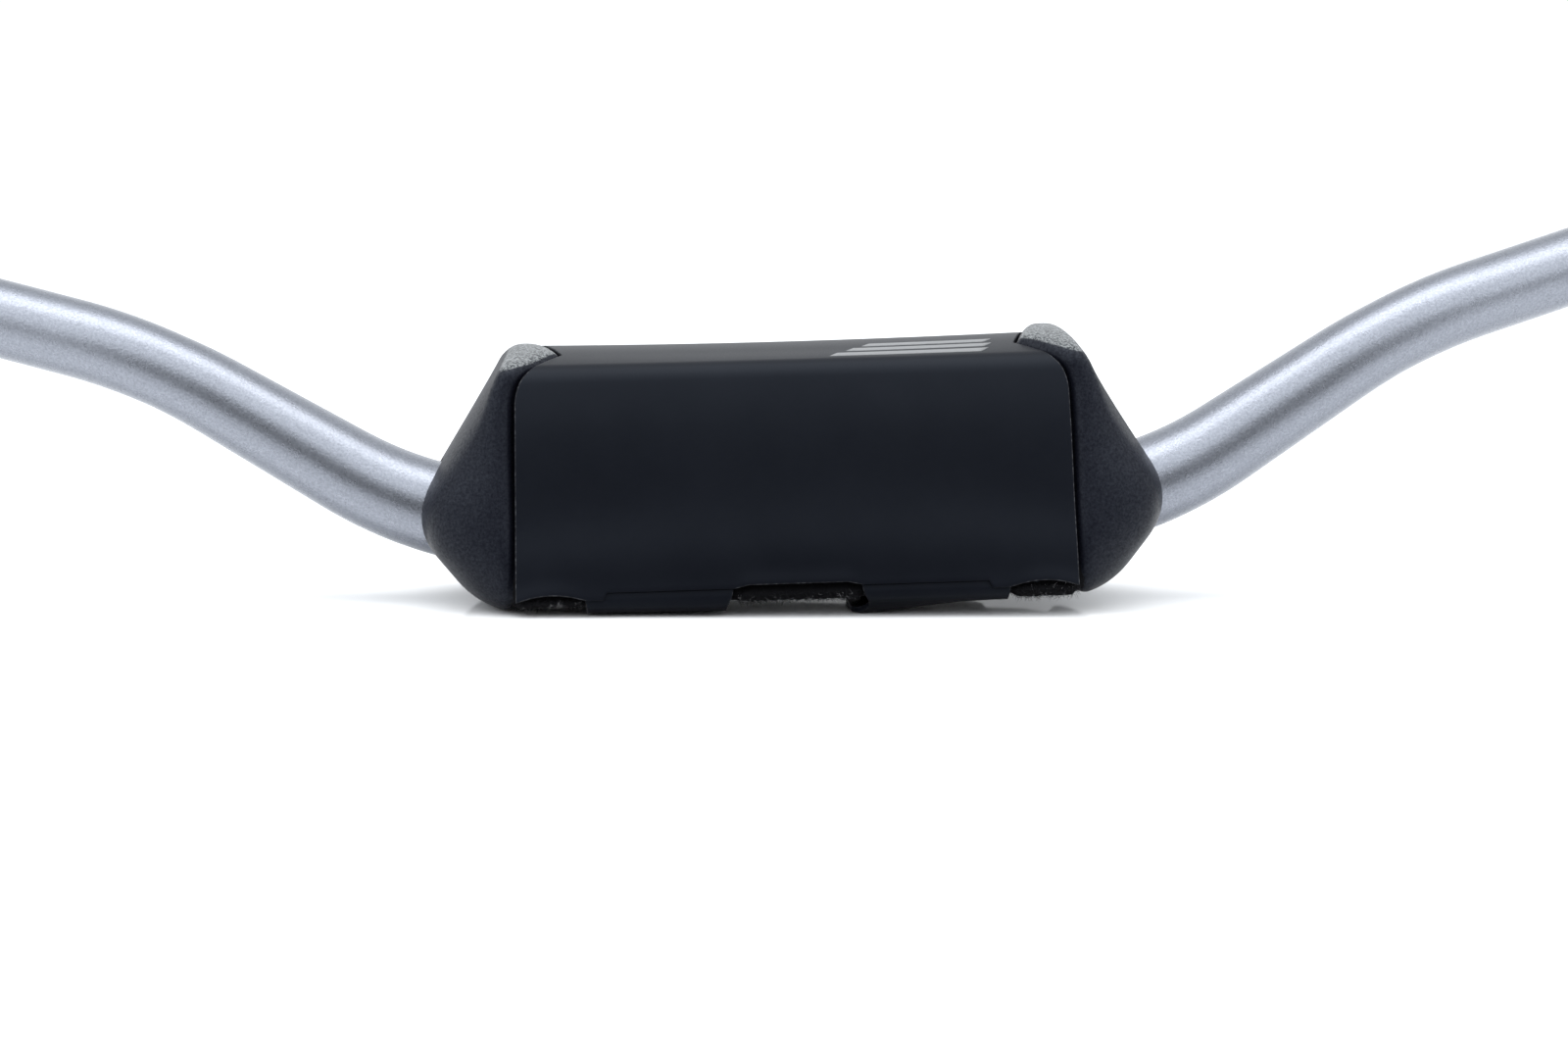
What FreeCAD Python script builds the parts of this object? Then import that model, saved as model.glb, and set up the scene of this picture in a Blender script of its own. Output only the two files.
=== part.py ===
import FreeCAD, Part
import math
import os

# A tapered motocross handlebar with a foam bar pad on its middle.
# Millimetres. The origin is the middle of the clamp section, on the tube's axis.
# +X runs along the bar, +Y points back towards the rider, +Z is up.

os.makedirs("parts", exist_ok=True)
Vector = FreeCAD.Vector
ALONG_BAR = Vector(1, 0, 0)

# ---- handlebar tube ----
clamp_diameter = 28.6        # oversize clamp section
control_diameter = 22.2      # standard control and grip section
clamp_bore = 20.0
control_bore = 14.6
clamp_half_length = 60.0     # the 28.6 section ends here
taper_end = 187.0            # distance along the tube where it is down to 22.2
centre_half_length = 67.0    # straight middle, before the lower bend
lower_bend_radius = 114.0
lower_bend_angle = 32.0
riser_length = 40.0
upper_bend_radius = 131.0
control_rise_angle = 15.0    # the control section climbs this much
control_sweep_angle = 12.0   # and points back this much
overall_width = 800.0
tube_end_chamfer = 0.8
bend_stations = 24           # rings used along the bends and the taper

# ---- pad cross-section, as the foam's proud outer surface ----
pad_front_bottom = (-35.9, -23.0)
pad_front_top = (-28.7, 47.2)
pad_rear_top = (31.7, 47.2)
pad_rear_bottom = (38.9, -23.0)
pad_crown = (1.5, 52.2)
pad_top_corner_radius = 7.0
pad_bottom_corner_radius = 5.0
pad_half_length = 115.0      # length of the blanks that are cut down to the pad

# ---- pad end, seen from the front (x, z) and from above (x, y) ----
end_front_outline = [(79.0, 52.6), (98.7, 21.5), (105.4, 6.5), (101.2, -8.5), (91.0, -23.2)]
end_plan_start = 84.0
end_plan_taper = 8.0         # how far the front and rear faces draw in at the nose
end_nose = 105.5
end_outline_radius = 10.0    # rounds the end as seen from the front

# ---- depths measured inwards from the foam's proud surface ----
cover_outside = 1.2
cover_inside = 2.8           # 1.6 thick coated fabric
foam_recess = 3.3
front_tape_inside = 4.2
front_tape_pocket = 4.3
rear_tape_outside = 3.9
rear_tape_inside = 4.8
rear_tape_pocket = 4.9

# ---- cover outline ----
cover_top_half_width = 77.7
cover_bottom_half_width = 79.3
recess_margin = 1.3          # gap left between the cover's edge and the foam end
notch_outline = [(77.4, -28.9), (72.6, -25.2), (64.4, -14.5), (70.6, 12.0), (76.4, 30.0),
                 (95.0, 30.0), (95.0, -28.9)]
fold_angle = 15.9            # from vertical: where the crown runs into the top front corner
tab_root_height = -16.0      # the tabs start here
tab_inner_edge = 18.0
tab_outer_edge = 60.0
tab_rear_end = 31.0
patch_front_end = 13.0
seam_gap = 0.1

# ---- foam cut-outs ----
channel_clearance = 1.2
slot_half_width = 10.0

# ---- printed mark on the top of the cover ----
mark_thickness = 0.15
mark_start = 11.0
mark_lengths = [43.0, 39.5, 35.0]
mark_row_step = 5.2
mark_row_width = 3.4
mark_front = -22.6
mark_slant = 5.0


def unit(vector):
    return vector.multiply(1.0 / vector.Length)


def direction(climb, sweep):
    """Unit vector that climbs and sweeps back by the given angles in degrees."""
    climb = math.radians(climb)
    sweep = math.radians(sweep)
    return Vector(math.cos(climb) * math.cos(sweep), math.cos(climb) * math.sin(sweep), math.sin(climb))


def along(point, heading, distance):
    return point + Vector(heading).multiply(distance)


def arc_point(start, heading, side, radius, angle):
    """Point and heading after turning by angle (radians) towards side."""
    ahead = Vector(heading).multiply(radius * math.sin(angle))
    across = Vector(side).multiply(radius * (1.0 - math.cos(angle)))
    turned = Vector(heading).multiply(math.cos(angle)) + Vector(side).multiply(math.sin(angle))
    return start + ahead + across, turned


# The tube's axis: straight middle, lower bend, riser, upper bend, control section.
riser_heading = direction(lower_bend_angle, 0.0)
control_heading = direction(control_rise_angle, control_sweep_angle)
upper_bend_side = unit(control_heading - Vector(riser_heading).multiply(riser_heading.dot(control_heading)))
upper_bend_angle = riser_heading.getAngle(control_heading)

lower_bend_start = Vector(centre_half_length, 0, 0)
riser_start = arc_point(lower_bend_start, ALONG_BAR, Vector(0, 0, 1),
                        lower_bend_radius, math.radians(lower_bend_angle))[0]
upper_bend_start = along(riser_start, riser_heading, riser_length)
control_start = arc_point(upper_bend_start, riser_heading, upper_bend_side,
                          upper_bend_radius, upper_bend_angle)[0]
control_length = (overall_width / 2.0 - control_start.x) / control_heading.x
tube_end = along(control_start, control_heading, control_length)

lower_bend_end = centre_half_length + lower_bend_radius * math.radians(lower_bend_angle)
riser_end = lower_bend_end + riser_length
upper_bend_end = riser_end + upper_bend_radius * upper_bend_angle


def axis_at(distance):
    """Point and heading of the tube's axis at a distance from the middle."""
    if distance <= centre_half_length:
        return Vector(distance, 0, 0), ALONG_BAR
    if distance <= lower_bend_end:
        turned = (distance - centre_half_length) / lower_bend_radius
        return arc_point(lower_bend_start, ALONG_BAR, Vector(0, 0, 1), lower_bend_radius, turned)
    if distance <= riser_end:
        return along(riser_start, riser_heading, distance - lower_bend_end), riser_heading
    turned = (distance - riser_end) / upper_bend_radius
    return arc_point(upper_bend_start, riser_heading, upper_bend_side, upper_bend_radius, turned)


def tapered_radius(distance, middle_diameter, end_diameter):
    share = (distance - clamp_half_length) / (taper_end - clamp_half_length)
    share = min(1.0, max(0.0, share))
    return (middle_diameter + (end_diameter - middle_diameter) * share) / 2.0


def ring(centre, heading, radius):
    """Circle round the axis, always started from the same side so a loft doesn't twist."""
    circle = Part.Wire(Part.makeCircle(radius))
    turn = FreeCAD.Rotation(Vector(0, 1, 0), Vector(), heading, "ZXY")
    circle.Placement = FreeCAD.Placement(centre, turn)
    return circle


def rod(middle_diameter, end_diameter, overrun):
    """Solid that follows the whole handlebar, tapering between two diameters."""
    rings = []
    for number in range(bend_stations + 1):
        distance = clamp_half_length + (upper_bend_end - clamp_half_length) * number / bend_stations
        centre, heading = axis_at(distance)
        rings.append(ring(centre, heading, tapered_radius(distance, middle_diameter, end_diameter)))
    bends = Part.makeLoft(rings, True, False)
    straight = Part.makeCylinder(end_diameter / 2.0, control_length + overrun, control_start, control_heading)
    half = bends.fuse(straight)
    middle = Part.makeCylinder(middle_diameter / 2.0, 2.0 * clamp_half_length,
                               Vector(-clamp_half_length, 0, 0), ALONG_BAR)
    other_half = half.mirror(Vector(0, 0, 0), ALONG_BAR)
    return middle.fuse([half, other_half])


def chamfer_cutter():
    """Ring that takes the sharp edge off the outside of the right tube end."""
    outer = control_diameter / 2.0
    size = tube_end_chamfer
    base = along(tube_end, control_heading, -size)
    sleeve = Part.makeCylinder(outer + 2.0, 2.0 * size, base, control_heading)
    cone = Part.makeCone(outer, outer - 2.0 * size, 2.0 * size, base, control_heading)
    return sleeve.cut(cone)


def mirrored_pair(shape):
    return [shape, shape.mirror(Vector(0, 0, 0), ALONG_BAR)]


def make_bar_tube():
    tube = rod(clamp_diameter, control_diameter, 0.0)
    tube = tube.cut(rod(clamp_bore, control_bore, 2.0))
    for cutter in mirrored_pair(chamfer_cutter()):
        tube = tube.cut(cutter)
    return tube


def section_point(pair):
    return Vector(-pad_half_length, pair[0], pair[1])


def long_edges(solid, low, high):
    """Edges that run along the bar between two heights."""
    chosen = []
    for edge in solid.Edges:
        runs_along = edge.BoundBox.XLength > pad_half_length and edge.BoundBox.YLength < 0.01
        if runs_along and low < edge.BoundBox.Center.z < high:
            chosen.append(edge)
    return chosen


def pad_blank(depth):
    """Pad cross-section, drawn in by depth, run out along the bar with rounded corners."""
    crown = Part.Arc(section_point(pad_front_top), section_point(pad_crown), section_point(pad_rear_top))
    outline = Part.Wire([
        Part.makeLine(section_point(pad_front_bottom), section_point(pad_front_top)),
        crown.toShape(),
        Part.makeLine(section_point(pad_rear_top), section_point(pad_rear_bottom)),
        Part.makeLine(section_point(pad_rear_bottom), section_point(pad_front_bottom)),
    ])
    face = Part.Face(outline)
    if depth > 0.0:
        face = face.makeOffset2D(-depth, join=2)
    blank = face.extrude(Vector(2.0 * pad_half_length, 0, 0))
    blank = blank.makeFillet(pad_top_corner_radius - depth, long_edges(blank, 20.0, 50.0))
    bottom_radius = pad_bottom_corner_radius - depth
    if bottom_radius > 0.5:
        blank = blank.makeFillet(bottom_radius, long_edges(blank, -30.0, -10.0))
    return blank


def layer(outside, inside):
    """Shell of the pad cross-section between two depths."""
    return pad_blank(outside).cut(pad_blank(inside))


def prism(points, push):
    return Part.Face(Part.makePolygon(points + [points[0]])).extrude(push)


def box(x_from, x_to, y_from, y_to, z_from, z_to):
    return Part.makeBox(x_to - x_from, y_to - y_from, z_to - z_from, Vector(x_from, y_from, z_from))


def cover_outline(margin):
    """Everything inside the cover's side edges, with the two notches over the top corners."""
    slope = (cover_bottom_half_width - cover_top_half_width) / 60.0
    high = cover_top_half_width - 20.0 * slope + margin
    low = cover_bottom_half_width + 20.0 * slope + margin
    corners = [Vector(-low, -60, -40), Vector(low, -60, -40), Vector(high, -60, 60), Vector(-high, -60, 60)]
    body = prism(corners, Vector(0, 120, 0))
    notch = Part.Face(Part.makePolygon([Vector(x, y, 25.0) for x, y in notch_outline + [notch_outline[0]]]))
    if margin > 0.0:
        notch = notch.makeOffset2D(-margin, join=2)
    notch = notch.extrude(Vector(0, 0, 40.0))
    return body.cut(mirrored_pair(notch))


def foam_ends():
    """The pad's length, with the sloping ends that come to a nose round the bar."""
    right = [Vector(x, -60, z) for x, z in end_front_outline]
    left = [Vector(-x, -60, z) for x, z in reversed(end_front_outline)]
    front_view = prism(right + left, Vector(0, 120, 0))
    corners = [edge for edge in front_view.Edges if edge.BoundBox.YLength > 100.0]
    front_view = front_view.makeFillet(end_outline_radius, corners)
    front = pad_front_bottom[0] - 1.0
    rear = pad_rear_bottom[0] + 1.0
    right = [(end_plan_start, front), (end_nose + 1.0, front + end_plan_taper),
             (end_nose + 1.0, rear - end_plan_taper), (end_plan_start, rear)]
    left = [(-x, y) for x, y in reversed(right)]
    plan_view = prism([Vector(x, y, -40) for x, y in right + left], Vector(0, 0, 120))
    return front_view.common(plan_view)


def make_pad_foam():
    foam = pad_blank(0.0).common(foam_ends())
    foam = foam.cut(layer(0.0, foam_recess).common(cover_outline(recess_margin)))
    foam = foam.cut(front_tape(foam_recess - 0.1, front_tape_pocket, 0.5))
    foam = foam.cut(rear_tape(foam_recess - 0.1, rear_tape_pocket, 0.5))
    clearance = 2.0 * channel_clearance
    channel = rod(clamp_diameter + clearance, control_diameter + clearance, 0.0)
    foam = foam.cut(channel.common(box(-130, 130, -40, 40, -40, 80)))
    return foam.cut(box(-130, 130, -slot_half_width, slot_half_width, -40, 4))


def front_tape(outside, inside, margin):
    """Tape round the foam's front lower corner."""
    reach = cover_bottom_half_width + 0.3 + margin
    return layer(outside, inside).common(box(-reach, reach, -60, -20 + margin, -60, -11 + margin))


def rear_tape(outside, inside, margin):
    """Tape on the foam's rear lower face, where the tabs fasten."""
    reach = tab_outer_edge + 2.0 + margin
    return layer(outside, inside).common(
        box(-reach, reach, patch_front_end - margin, tab_rear_end + margin, -60, -10))


def before_fold(gap):
    """Everything in front of the fold line, which is square to the cover's surface."""
    half_chord = (pad_rear_top[0] - pad_front_top[0]) / 2.0
    sagitta = pad_crown[1] - pad_front_top[1]
    crown_radius = (half_chord ** 2 + sagitta ** 2) / (2.0 * sagitta)
    angle = math.radians(fold_angle)
    centre = Vector(-100, pad_crown[0] - gap, pad_crown[1] - crown_radius)
    far = centre + Vector(0, -math.sin(angle), math.cos(angle)).multiply(80.0)
    corners = [centre, far, Vector(-100, -80, 60), Vector(-100, -80, -60), Vector(-100, centre.y, -60)]
    return prism(corners, Vector(200, 0, 0))


def make_cover_shell():
    """Top and rear of the cover."""
    shell = layer(cover_outside, cover_inside).common(cover_outline(0.0))
    shell = shell.cut(before_fold(0.0))
    return shell.common(box(-100, 100, -60, 60, pad_rear_bottom[1] + 6.0, 80))


def make_front_panel():
    """Front of the cover, from the fold over the top corner down to the tabs."""
    panel = layer(cover_outside, cover_inside).common(cover_outline(0.0))
    panel = panel.common(before_fold(seam_gap))
    return panel.common(box(-100, 100, -60, 0, tab_root_height, 80))


def make_tab(x_from, x_to):
    """Fastening tab: a short upright lip, then a run back under the bar."""
    tab = layer(cover_outside, cover_inside)
    lip = box(x_from, x_to, -60, -20, -60, tab_root_height - seam_gap)
    run = box(x_from, x_to, -20, tab_rear_end, -60, -10)
    return tab.common(lip.fuse(run))


def make_hook_patch(x_from, x_to):
    patch = layer(cover_inside, rear_tape_outside - seam_gap)
    return patch.common(box(x_from + 3, x_to - 3, patch_front_end + 1, tab_rear_end - 1, -60, -10))


def make_top_mark():
    """Printed mark: slanted parallel bars that get shorter towards the back."""
    film = layer(cover_outside - mark_thickness, cover_outside)
    bars = []
    for row, length in enumerate(mark_lengths):
        front = mark_front + row * mark_row_step
        back = front + mark_row_width
        start = mark_start + row * mark_slant
        end = start + length
        corners = [(start, front), (end, front), (end + mark_slant / 2.0, back), (start + mark_slant / 2.0, back)]
        bars.append(film.common(prism([Vector(x, y, 40) for x, y in corners], Vector(0, 0, 20))))
    return Part.makeCompound(bars)


shapes = {
    "bar_tube": make_bar_tube(),
    "pad_foam": make_pad_foam(),
    "cover_shell": make_cover_shell(),
    "cover_front_panel": make_front_panel(),
    "cover_tab_left": make_tab(-tab_outer_edge, -tab_inner_edge),
    "cover_tab_right": make_tab(tab_inner_edge, tab_outer_edge),
    "hook_patch_left": make_hook_patch(-tab_outer_edge, -tab_inner_edge),
    "hook_patch_right": make_hook_patch(tab_inner_edge, tab_outer_edge),
    "tape_strip_front": front_tape(foam_recess, front_tape_inside, 0.0),
    "tape_strip_rear": rear_tape(rear_tape_outside, rear_tape_inside, 0.0),
    "top_mark": make_top_mark(),
}

for name, shape in shapes.items():
    shape.exportStep("parts/" + name + ".step")
    print(name, "solids", len(shape.Solids), "valid", shape.isValid(), "volume", round(shape.Volume, 1))
print("control section starts", control_start, "ends", tube_end, "heading", control_heading)
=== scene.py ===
import math
import random

import bpy
import numpy as np
from mathutils import Matrix, Vector


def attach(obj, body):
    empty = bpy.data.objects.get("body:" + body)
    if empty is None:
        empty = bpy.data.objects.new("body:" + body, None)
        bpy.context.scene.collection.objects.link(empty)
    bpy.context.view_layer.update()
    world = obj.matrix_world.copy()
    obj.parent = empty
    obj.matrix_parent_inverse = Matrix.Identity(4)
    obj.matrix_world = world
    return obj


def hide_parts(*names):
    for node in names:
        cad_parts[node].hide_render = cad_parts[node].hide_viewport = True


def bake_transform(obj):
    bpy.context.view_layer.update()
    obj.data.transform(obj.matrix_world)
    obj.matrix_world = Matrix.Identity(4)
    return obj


# A tapered motocross handlebar with a foam bar pad. Lengths in this file are millimetres in the
# part's own frame, and make_object turns them into metres.

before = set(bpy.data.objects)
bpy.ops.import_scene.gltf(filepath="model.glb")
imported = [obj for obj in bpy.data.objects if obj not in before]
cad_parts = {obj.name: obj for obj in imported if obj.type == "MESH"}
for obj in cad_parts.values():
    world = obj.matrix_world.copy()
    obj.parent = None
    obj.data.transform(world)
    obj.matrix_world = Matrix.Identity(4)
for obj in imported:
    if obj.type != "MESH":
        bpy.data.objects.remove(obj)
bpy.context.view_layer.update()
MM = 0.001

# ---------------- pad cross-section
# Half of the section, u out from its middle plane and z up. The outline runs from the crown's
# middle over the top corner, down the side, round the bottom corner and back under.
PAD_MIDDLE = 1.5
PAD_BOTTOM = -23.0
SIDE_LOW = 37.4
SIDE_HIGH = 30.2
SHOULDER = 47.2
PAD_TOP = 52.2
TOP_ROUND = 7.0
BOTTOM_ROUND = 5.0

side_vector = np.array([SIDE_HIGH - SIDE_LOW, SHOULDER - PAD_BOTTOM])
SIDE_UP = side_vector / np.linalg.norm(side_vector)
SIDE_OUT = np.array([SIDE_UP[1], -SIDE_UP[0]])
SIDE_REACH = SIDE_OUT @ np.array([SIDE_LOW, PAD_BOTTOM])
CROWN_RISE = PAD_TOP - SHOULDER
CROWN_RADIUS = (SIDE_HIGH ** 2 + CROWN_RISE ** 2) / (2.0 * CROWN_RISE)
CROWN_CENTRE = np.array([0.0, PAD_TOP - CROWN_RADIUS])

corner_start = SIDE_OUT * (SIDE_REACH - TOP_ROUND)
to_start = corner_start - CROWN_CENTRE
half_b = to_start @ SIDE_UP
constant = to_start @ to_start - (CROWN_RADIUS - TOP_ROUND) ** 2
TOP_CORNER = corner_start + SIDE_UP * (-half_b + math.sqrt(half_b ** 2 - constant))
bottom_corner_z = PAD_BOTTOM + BOTTOM_ROUND
bottom_corner_u = (SIDE_REACH - BOTTOM_ROUND - SIDE_OUT[1] * bottom_corner_z) / SIDE_OUT[0]
BOTTOM_CORNER = np.array([bottom_corner_u, bottom_corner_z])

# Angles from vertical at which one part of the outline runs into the next, and how far that is
# along the outline from the crown's middle.
CROWN_ANGLE = math.atan2(TOP_CORNER[0], TOP_CORNER[1] - CROWN_CENTRE[1])
SIDE_ANGLE = math.atan2(SIDE_OUT[0], SIDE_OUT[1])
CROWN_END = CROWN_RADIUS * CROWN_ANGLE
CORNER_END = CROWN_END + TOP_ROUND * (SIDE_ANGLE - CROWN_ANGLE)
SIDE_END = CORNER_END + SIDE_UP @ (TOP_CORNER - BOTTOM_CORNER)
BOTTOM_START = SIDE_END + BOTTOM_ROUND * (math.pi - SIDE_ANGLE)


def section_point(run, depth):
    """(y, z, normal y, normal z) at a run along the outline, drawn in by depth.

    A negative run is on the front, a positive one on the rear."""
    run = np.asarray(run, float)
    distance = np.abs(run)
    before = [distance < end for end in (CROWN_END, CORNER_END, SIDE_END, BOTTOM_START)]
    angle = np.select(before, [
        distance / CROWN_RADIUS, CROWN_ANGLE + (distance - CROWN_END) / TOP_ROUND,
        np.full_like(distance, SIDE_ANGLE), SIDE_ANGLE + (distance - SIDE_END) / BOTTOM_ROUND,
    ], math.pi)
    normal_u = np.sin(angle)
    normal_z = np.cos(angle)
    side_top = TOP_CORNER + TOP_ROUND * SIDE_OUT
    down_side = distance - CORNER_END
    u = np.select(before, [
        CROWN_RADIUS * normal_u, TOP_CORNER[0] + TOP_ROUND * normal_u,
        side_top[0] - SIDE_UP[0] * down_side, BOTTOM_CORNER[0] + BOTTOM_ROUND * normal_u,
    ], BOTTOM_CORNER[0] - (distance - BOTTOM_START))
    z = np.select(before, [
        CROWN_CENTRE[1] + CROWN_RADIUS * normal_z, TOP_CORNER[1] + TOP_ROUND * normal_z,
        side_top[1] - SIDE_UP[1] * down_side, BOTTOM_CORNER[1] + BOTTOM_ROUND * normal_z,
    ], PAD_BOTTOM)
    u = u - depth * normal_u
    z = z - depth * normal_z
    side = np.where(run < 0.0, -1.0, 1.0)
    return PAD_MIDDLE + side * u, z, side * normal_u, normal_z


def run_at_height(z):
    """Run down the side at which the outline is at height z."""
    return CORNER_END + (TOP_CORNER[1] + TOP_ROUND * SIDE_OUT[1] - z) / SIDE_UP[1]


def crown_and_side(u, z):
    """Distances outside the crown's arc and outside the straight side."""
    crown = np.hypot(u - CROWN_CENTRE[0], z - CROWN_CENTRE[1]) - CROWN_RADIUS
    return crown, SIDE_OUT[0] * u + SIDE_OUT[1] * z - SIDE_REACH


def section_field(y, z):
    """(distance outside the section, run along its outline) of points in the section's plane."""
    u = np.abs(y - PAD_MIDDLE)
    crown, side = crown_and_side(u, z)
    crown_angle = np.arctan2(u - CROWN_CENTRE[0], z - CROWN_CENTRE[1])
    distance = np.maximum(np.maximum(crown, side), PAD_BOTTOM - z)
    top_u, top_z = u - TOP_CORNER[0], z - TOP_CORNER[1]
    top_angle = np.arctan2(top_u, top_z)
    at_top = (crown_angle > CROWN_ANGLE) & (top_angle > CROWN_ANGLE) & (top_angle < SIDE_ANGLE)
    distance = np.where(at_top, np.hypot(top_u, top_z) - TOP_ROUND, distance)
    low_u, low_z = u - BOTTOM_CORNER[0], z - BOTTOM_CORNER[1]
    at_bottom = (np.arctan2(low_u, low_z) > SIDE_ANGLE) & (low_u > 0.0)
    distance = np.where(at_bottom, np.hypot(low_u, low_z) - BOTTOM_ROUND, distance)
    down_side = CORNER_END - (SIDE_UP[0] * top_u + SIDE_UP[1] * top_z)
    run = np.where(crown_angle <= CROWN_ANGLE, CROWN_RADIUS * crown_angle, down_side)
    run = np.where(at_top, CROWN_END + TOP_ROUND * (top_angle - CROWN_ANGLE), run)
    return distance, np.where(y < PAD_MIDDLE, -run, run)


# ---------------- cover outline
COVER_OUTSIDE = 1.2
COVER_THICKNESS = 1.6
COVER_TOP_WIDTH = 77.7  # half width over the crown
COVER_FLARE = 0.027  # each side leans out by this much per millimetre down the panel
NOTCH_RUN = -16.3
NOTCH_WIDTH = 64.3
NOTCH_FRONT_SLOPE = 0.71
NOTCH_REAR_SLOPE = 0.24
NOTCH_ROUND = 3.4
TOP_SAG = 0.9
SAG_FADE = (0.55 * CROWN_END, CROWN_END + 6.0)


def smooth_max(a, b, blend_size):
    """The larger value, blended where the two are closer than blend_size."""
    share = np.clip(blend_size - np.abs(a - b), 0.0, None) / blend_size
    return np.maximum(a, b) + share * share * blend_size / 4.0


def smooth_min(a, b, blend_size):
    return -smooth_max(-a, -b, blend_size)


def smooth_step(value, low, high):
    """Eased rise from 0 at low to 1 at high."""
    share = np.clip((value - low) / (high - low), 0.0, 1.0)
    return share * share * (3.0 - 2.0 * share)


def cover_half_width(run):
    """Half width of the cover, notched in over each top corner."""
    run = np.asarray(run, float)
    side = COVER_TOP_WIDTH + COVER_FLARE * np.clip(np.abs(run) - CORNER_END, 0.0, None)
    ahead = NOTCH_WIDTH + NOTCH_FRONT_SLOPE * (NOTCH_RUN - run)
    behind = NOTCH_WIDTH + NOTCH_REAR_SLOPE * (run - NOTCH_RUN)
    notch = np.where(run < NOTCH_RUN, ahead, behind)
    return smooth_min(side, notch, NOTCH_ROUND)


def cover_sag(x, run):
    """How much deeper the cover lies over the middle of the crown, pulled down into the foam."""
    crown = 1.0 - smooth_step(np.abs(run), *SAG_FADE)
    return TOP_SAG * np.clip(1.0 - (x / COVER_TOP_WIDTH) ** 2, 0.0, 1.0) * crown


# ---------------- mesh helpers
def add_object(name, data):
    obj = bpy.data.objects.new(name, data)
    bpy.context.scene.collection.objects.link(obj)
    return obj


def make_object(name, points, faces, material):
    mesh = bpy.data.meshes.new(name)
    mesh.from_pydata((np.asarray(points) * MM).tolist(), [], [list(map(int, f)) for f in faces])
    mesh.update()
    mesh.shade_smooth()
    mesh.materials.append(material)
    return add_object(name, mesh)


def apply_modifiers(obj):
    """Makes the modified mesh the object's own."""
    graph = bpy.context.evaluated_depsgraph_get()
    finished = bpy.data.meshes.new_from_object(obj.evaluated_get(graph))
    obj.modifiers.clear()
    obj.data = finished
    obj.data.shade_smooth()


def grid_faces(rows, columns, first, flip):
    """Quads of a rows x columns grid of points, numbered from first."""
    row, column = np.meshgrid(np.arange(rows - 1), np.arange(columns - 1), indexing="ij")
    corner = (first + row * columns + column).ravel()
    quads = np.stack([corner, corner + 1, corner + columns + 1, corner + columns], axis=1)
    return quads[:, ::-1] if flip else quads


def thick_sheet(outer, inner):
    """Closed body between two grids of points of the same size."""
    rows, columns = outer.shape[:2]
    count = rows * columns
    points = np.concatenate([outer.reshape(-1, 3), inner.reshape(-1, 3)])
    index = np.arange(count).reshape(rows, columns)
    loop = np.concatenate([index[0, :], index[1:, -1], index[-1, -2::-1], index[-2:0:-1, 0]])
    following = np.roll(loop, -1)
    rim = np.stack([loop, loop + count, following + count, following], axis=1)
    sides = [grid_faces(rows, columns, 0, False), grid_faces(rows, columns, count, True)]
    return points, np.concatenate([*sides, rim])


def face_outward(points, faces):
    """Turns all faces round if the closed body they make is inside out."""
    corners = points[faces]
    centre = points.mean(axis=0)
    a, b, c, d = (corners[:, number] - centre for number in range(4))
    volume = (a * (np.cross(b, c) + np.cross(c, d))).sum()
    return faces if volume > 0 else faces[:, ::-1]


def sheet_object(name, outer, inner, material, edge_round, edge_material=None):
    points, faces = thick_sheet(outer, inner)
    obj = make_object(name, points, face_outward(points, faces), material)
    if edge_round > 0.0:
        obj.data.materials.append(edge_material)
        bevel = obj.modifiers.new("edge", "BEVEL")
        bevel.width = edge_round * MM
        bevel.segments = 3
        bevel.limit_method = "ANGLE"
        bevel.angle_limit = math.radians(50)
        # The rounded edge takes edge_material, the painted highlight along the arris.
        bevel.material = 1
        apply_modifiers(obj)
    return obj


def plain_edge(obj, hidden):
    """Gives the rounded edge the sheet's own material again, without its painted highlight, where hidden(x,
    z) holds.
    """
    for face in obj.data.polygons:
        if face.material_index == 1 and hidden(face.center.x / MM, face.center.z / MM):
            face.material_index = 0


def ring_faces(rings, sides, closed):
    """Quads between rings of points that follow one another, joined up again if closed."""
    faces = []
    for ring in range(rings if closed else rings - 1):
        following = (ring + 1) % rings
        for side in range(sides):
            beside = (side + 1) % sides
            faces.append((ring * sides + side, ring * sides + beside,
                          following * sides + beside, following * sides + side))
    return np.array(faces)


def register(obj, body, slot, *nodes):
    """Rides a piece on a body, in place of the named CAD nodes."""
    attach(obj, body)
    if nodes:
        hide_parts(*nodes)


def wave(x, y, seed):
    """Smooth made-up unevenness between about -1 and 1, the same every run."""
    chooser = random.Random(seed)
    total = 0.0
    for octave in range(4):
        angle = chooser.uniform(0.0, math.tau)
        phase = chooser.uniform(0.0, math.tau)
        turn = chooser.uniform(0.6, 1.5)
        total = total + np.sin((x * math.cos(angle) + y * math.sin(angle)) * turn + phase)
    return total / 4.0


# ---------------- materials
def new_material(name):
    material = bpy.data.materials.new(name)
    material.use_nodes = True
    return material, material.node_tree, material.node_tree.nodes["Principled BSDF"]


def feed(tree, node, values):
    """Gives a node's inputs fixed values, or joins other nodes' outputs to them."""
    for name, value in values.items():
        if isinstance(value, bpy.types.NodeSocket):
            tree.links.new(value, node.inputs[name])
        else:
            node.inputs[name].default_value = value


def noise(tree, scale, detail, roughness=0.6):
    place = tree.nodes.new("ShaderNodeTexCoord").outputs["Object"]
    texture = tree.nodes.new("ShaderNodeTexNoise")
    feed(tree, texture, {"Vector": place, "Scale": scale, "Detail": detail, "Roughness": roughness})
    return texture.outputs["Fac"]


def spread(tree, value, from_low, from_high, to_low=0.0, to_high=1.0):
    """A value's range moved onto another range, kept within it."""
    remap = tree.nodes.new("ShaderNodeMapRange")
    feed(tree, remap, {"Value": value, "From Min": from_low, "From Max": from_high,
                       "To Min": to_low, "To Max": to_high})
    return remap.outputs["Result"]


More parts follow.
